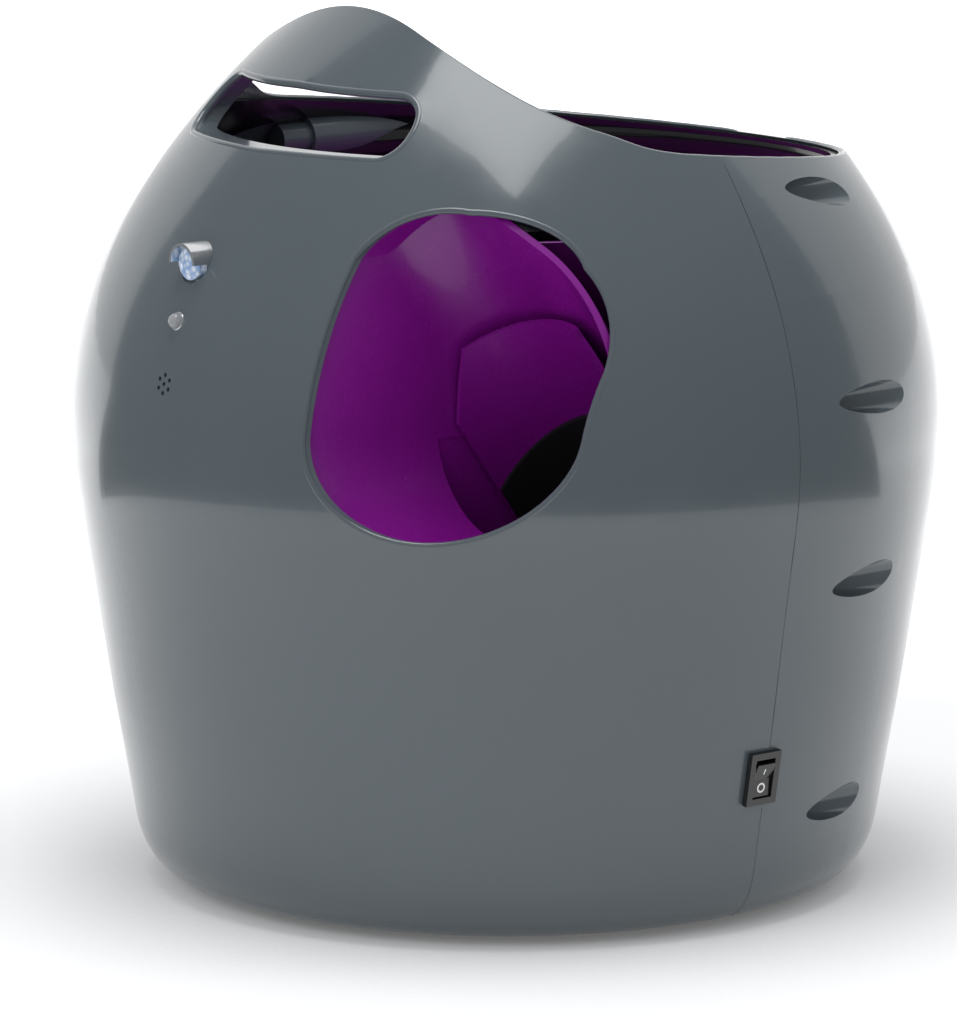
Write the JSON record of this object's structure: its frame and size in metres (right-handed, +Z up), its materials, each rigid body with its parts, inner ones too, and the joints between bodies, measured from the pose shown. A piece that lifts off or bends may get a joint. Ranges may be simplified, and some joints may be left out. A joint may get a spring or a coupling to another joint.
{
  "type": "automatic dog ball launcher",
  "caption": "Rounded automatic ball launcher with an open hopper mouth and handle on top, a tilting launch tube behind a side port, a front motion sensor and rear control knobs.",
  "frame": {"origin": "on the ground under the middle of the body", "axes": "+Z up; the motion sensor, the handle slot and the launch port face -Y; +X is the side that has the launch port and the power switch"},
  "size_m": [0.3336, 0.3336, 0.3389],
  "materials": {
    "shell_grey": "gloss slate grey",
    "purple": "gloss purple",
    "black": "satin black",
    "black_gloss": "gloss black",
    "silver": "bright plated",
    "lens_blue": "pale blue lens",
    "lens_clear": "clear",
    "rubber": "rubber",
    "steel": "zinc plated",
    "board_green": "circuit board",
    "gear_white": "natural acetal"
  },
  "bodies": {
    "body": {"front_shell": "shell_grey", "rear_shell": "shell_grey", "base_plate": "black", "battery_tray": "black", "battery_contacts": "steel", "feet": "rubber", "hopper": "purple", "hopper_rim": "black_gloss", "port_cowl": "purple", "angle_bush": "gear_white", "cam_bracket": "black", "distance_bush": "gear_white", "distance_selector": "black", "sensor_hood": "silver", "sensor_lens": "lens_blue", "led_lens": "lens_clear", "control_board": "board_green", "speaker": "black", "switch_housing": "black_gloss", "dc_jack": "black", "shell_screws": "steel", "base_screws": "steel", "cowl_screws": "steel", "board_screws": "steel", "ball_switch": "black"},
    "launch_tube": {"launch_barrel": "purple", "launch_chamber": "black", "gear_frame": "black", "motor": "steel", "drive_axle": "steel", "plunger_spring": "steel"},
    "plunger_body": {"plunger": "black"},
    "motor_pinion_body": {"motor_pinion": "gear_white"},
    "drive_gear_body": {"drive_gear": "gear_white"},
    "angle_control": {"angle_cam": "gear_white", "angle_shaft": "steel", "angle_knob": "black"},
    "distance_control": {"distance_knob": "black", "distance_shaft": "steel"},
    "rocker": {"switch_rocker": "black_gloss"},
    "lever": {"switch_lever": "steel"},
    "door": {"battery_door": "black"}
  },
  "joints": [
    {"name": "launch_angle", "type": "hinge", "parent": "body", "child": "launch_tube", "pos_m": [0.105, -0.06091, 0.18188], "axis": [1, 0, 0], "range_deg": [0, 30]},
    {"name": "angle_knob_turn", "type": "hinge", "parent": "body", "child": "angle_control", "pos_m": [0.03, 0.12, 0.11396], "axis": [0, -1, 0], "range_deg": [0, 300]},
    {"name": "plunger_slide", "type": "slide", "parent": "launch_tube", "child": "plunger_body", "axis": [0, 0.5878, -0.809], "range_m": [0, 0.035], "stiffness_N_per_m": 400, "springref_m": -0.02, "deforming": ["plunger_spring"]},
    {"name": "drive_gear_turn", "type": "hinge", "parent": "launch_tube", "child": "drive_gear_body", "pos_m": [0.105, -0.00189, 0.05727], "axis": [1, 0, 0], "range_deg": [-168, 0]},
    {"name": "motor_pinion_turn", "type": "hinge", "parent": "launch_tube", "child": "motor_pinion_body", "pos_m": [0.105, 0.03326, 0.07169], "axis": [1, 0, 0], "range_deg": [0, 896]},
    {"name": "distance_knob_turn", "type": "hinge", "parent": "body", "child": "distance_control", "pos_m": [-0.04, 0.12, 0.11396], "axis": [0, -1, 0], "range_deg": [0, 320]},
    {"name": "power_rocker", "type": "hinge", "parent": "body", "child": "rocker", "pos_m": [0.14696, -0.003, 0.06155], "axis": [0, -1, 0], "range_deg": [0, 15]},
    {"name": "ball_lever", "type": "hinge", "parent": "body", "child": "lever", "pos_m": [0.0565, 0.018, 0.1966], "axis": [0, 1, 0], "range_deg": [0, 12], "stiffness_Nm_per_rad": 0.01, "springref_deg": -11.46},
    {"name": "battery_door_slide", "type": "slide", "parent": "body", "child": "door", "axis": [1, 0, 0], "range_m": [0, 0.012]}
  ],
  "couplings": [
    {"joint": "angle_knob_turn", "follows": "launch_angle", "ratio": 10},
    {"joint": "drive_gear_turn", "follows": "plunger_slide", "rad_per_m": -83.333},
    {"joint": "motor_pinion_turn", "follows": "plunger_slide", "rad_per_m": 444.44}
  ]
}
